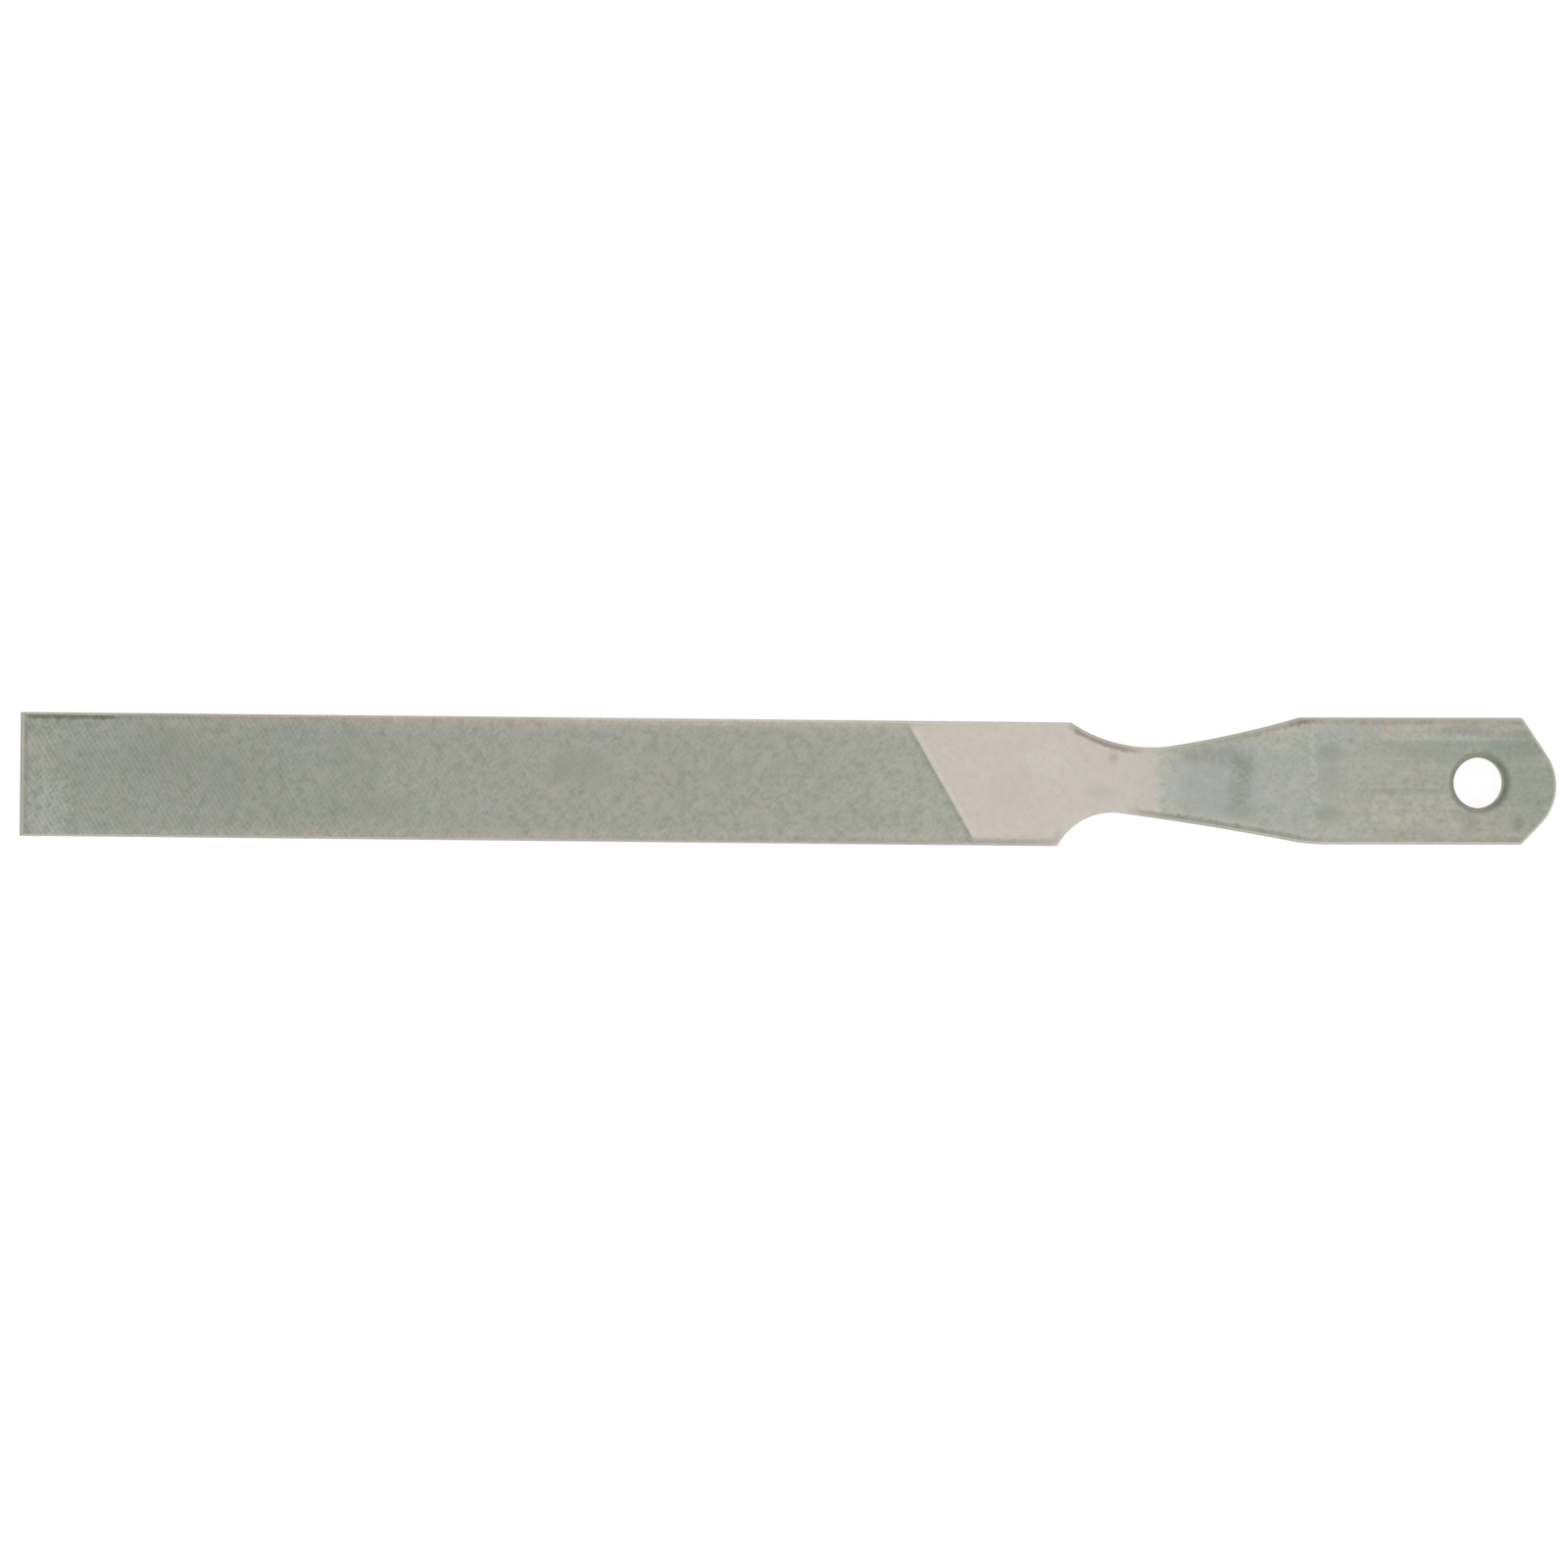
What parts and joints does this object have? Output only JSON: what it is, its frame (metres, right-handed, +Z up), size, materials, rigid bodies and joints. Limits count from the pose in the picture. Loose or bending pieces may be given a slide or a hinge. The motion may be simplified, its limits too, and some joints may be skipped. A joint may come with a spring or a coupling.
{
  "type": "garden file",
  "caption": "Flat single-piece steel garden file: toothed blade with a slanted heel, plain ground shoulder, narrow neck and flared handle with a hanging hole.",
  "frame": {"origin": "centre of the outline's box seen from above, on the surface that the file lies on", "axes": "+X along the blade from the tip towards the hanging end, +Z up out of the upper face, +Y across the blade"},
  "size_m": [0.248, 0.0214, 0.004],
  "materials": {
    "steel": "hardened file steel: cut teeth on the blade, a finely ground shoulder and neck, and a dull forged handle"
  },
  "bodies": {
    "root": {"garden_file": "steel"}
  },
  "joints": []
}
